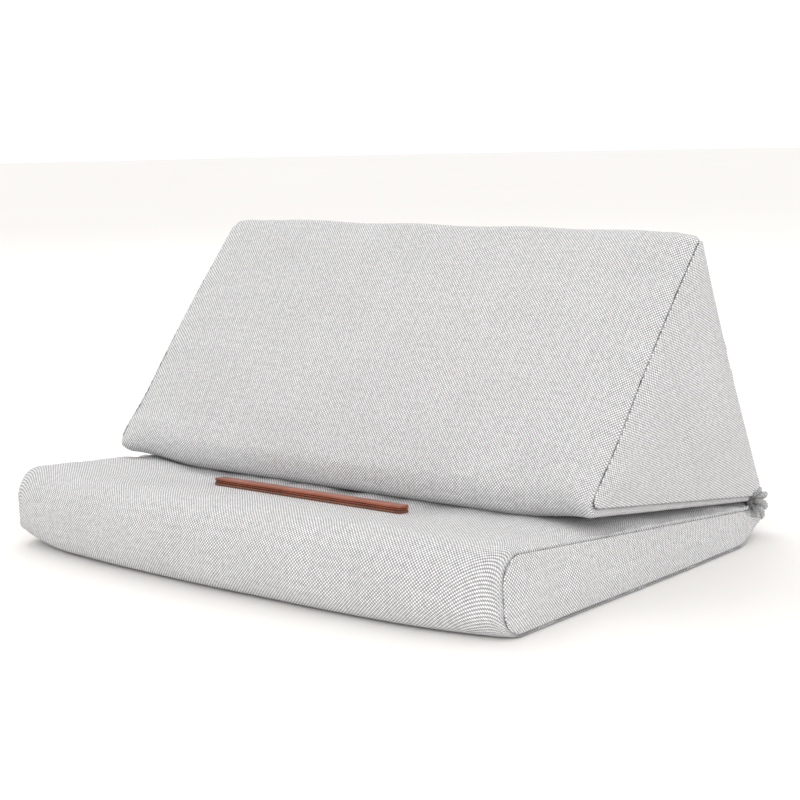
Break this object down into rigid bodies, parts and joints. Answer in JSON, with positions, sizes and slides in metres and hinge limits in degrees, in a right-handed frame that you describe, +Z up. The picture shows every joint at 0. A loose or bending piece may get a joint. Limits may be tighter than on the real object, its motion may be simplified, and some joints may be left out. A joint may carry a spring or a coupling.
{
  "type": "tablet stand",
  "caption": "Soft folding tablet stand: a flat foam base with a bowed front, a hinged triangular wedge to lean a tablet on, and a low leather stop for its edge.",
  "frame": {"origin": "middle of the footprint, on the surface the stand lies on", "axes": "+X across the stand to the right of the person reading, +Y to the rear, +Z up"},
  "size_m": [0.318, 0.2646, 0.166],
  "materials": {
    "cover_twill": "matte",
    "foam": "matte",
    "stop_leather_tan": "satin",
    "stop_leather_dark": "satin",
    "zip_tape": "matte",
    "zip_coil": "satin",
    "zip_metal": "satin"
  },
  "bodies": {
    "base": {"base_foam": "foam", "base_wrap": "cover_twill", "base_left_end_panel": "cover_twill", "base_right_end_panel": "cover_twill", "hinge_web": "cover_twill", "stop_bottom_leather": "stop_leather_dark", "stop_middle_leather": "stop_leather_dark", "stop_top_leather": "stop_leather_tan", "base_zip_upper_tape": "zip_tape", "base_zip_lower_tape": "zip_tape", "base_zip_coil": "zip_coil", "base_zip_left_end_stop": "zip_metal", "base_zip_right_end_stop": "zip_metal"},
    "wedge": {"wedge_foam": "foam", "wedge_wrap": "cover_twill", "wedge_left_end_panel": "cover_twill", "wedge_right_end_panel": "cover_twill", "wedge_zip_upper_tape": "zip_tape", "wedge_zip_lower_tape": "zip_tape", "wedge_zip_coil": "zip_coil", "wedge_zip_left_end_stop": "zip_metal", "wedge_zip_right_end_stop": "zip_metal"},
    "base_zip_runner": {"base_zip_slider": "zip_metal"},
    "base_zip_tag": {"base_zip_pull": "zip_metal"},
    "wedge_zip_runner": {"wedge_zip_slider": "zip_metal"},
    "wedge_zip_tag": {"wedge_zip_pull": "zip_metal"}
  },
  "joints": [
    {"name": "wedge_fold", "type": "hinge", "parent": "base", "child": "wedge", "pos_m": [0, 0.1272, 0.02], "axis": [-1, 0, 0], "range_deg": [0, 119], "deforming": ["hinge_web"]},
    {"name": "base_zip_slide", "type": "slide", "parent": "base", "child": "base_zip_runner", "axis": [1, 0, 0], "range_m": [-0.254, 0]},
    {"name": "base_zip_pull_swing", "type": "hinge", "parent": "base_zip_runner", "child": "base_zip_tag", "pos_m": [0.127, 0.1307, 0.0095], "axis": [0, 0, -1], "range_deg": [0, 180]},
    {"name": "wedge_zip_slide", "type": "slide", "parent": "wedge", "child": "wedge_zip_runner", "axis": [1, 0, 0], "range_m": [-0.254, 0]},
    {"name": "wedge_zip_pull_swing", "type": "hinge", "parent": "wedge_zip_runner", "child": "wedge_zip_tag", "pos_m": [0.127, 0.11557, 0.06062], "axis": [0, 0.435, -0.9004], "range_deg": [0, 180]}
  ]
}
